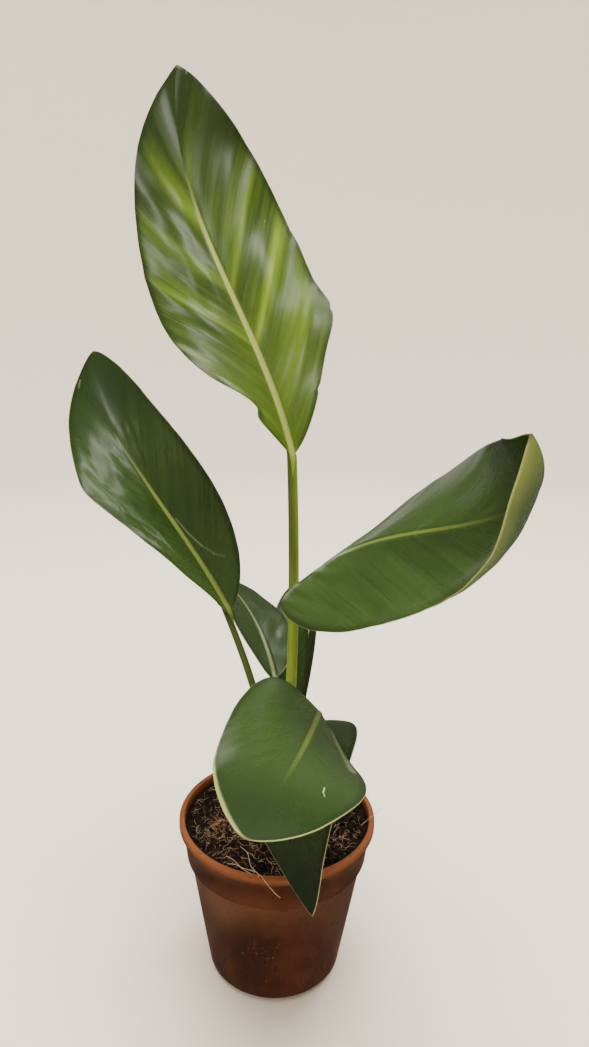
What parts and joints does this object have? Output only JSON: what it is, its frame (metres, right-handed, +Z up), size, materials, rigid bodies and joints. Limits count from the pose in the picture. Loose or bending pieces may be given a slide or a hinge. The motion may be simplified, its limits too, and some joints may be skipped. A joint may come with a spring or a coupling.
{
  "type": "potted bird of paradise plant",
  "caption": "Young bird of paradise plant with broad paddle-shaped leaves on slender stalks, rooted in soil in a round tapered terracotta-coloured plastic nursery pot.",
  "frame": {"origin": "middle of the pot's underside, on the plane that the pot stands on", "axes": "+Z up along the pot's axis; -Y towards the plant's front, where the lowest leaf hangs over the rim; +X to the right seen from the front"},
  "size_m": [0.2019, 0.2366, 0.4696],
  "materials": {
    "pot_plastic": "satin moulded plastic, dusty, with light scuffs",
    "potting_soil": "dark crumbly peat with coir fibres",
    "crown_sheath": "smooth, slightly waxy",
    "young_stalk": "smooth, slightly waxy",
    "old_stalk": "smooth, slightly waxy",
    "young_blade": "glossy, with fine side veins and a cream midrib",
    "old_blade": "glossy, with fine side veins, a pale midrib and a pale margin"
  },
  "bodies": {
    "root": {"pot": "pot_plastic", "soil": "potting_soil", "crown": "crown_sheath", "tall_leaf_stalk": "young_stalk", "tall_leaf_blade": "young_blade", "left_leaf_stalk": "old_stalk", "left_leaf_blade": "old_blade", "right_leaf_stalk": "old_stalk", "right_leaf_blade": "old_blade", "front_leaf_stalk": "old_stalk", "front_leaf_blade": "old_blade", "low_leaf_stalk": "old_stalk", "low_leaf_blade": "old_blade", "back_left_leaf_stalk": "old_stalk", "back_left_leaf_blade": "old_blade", "back_right_leaf_stalk": "old_stalk", "back_right_leaf_blade": "old_blade"}
  },
  "joints": []
}
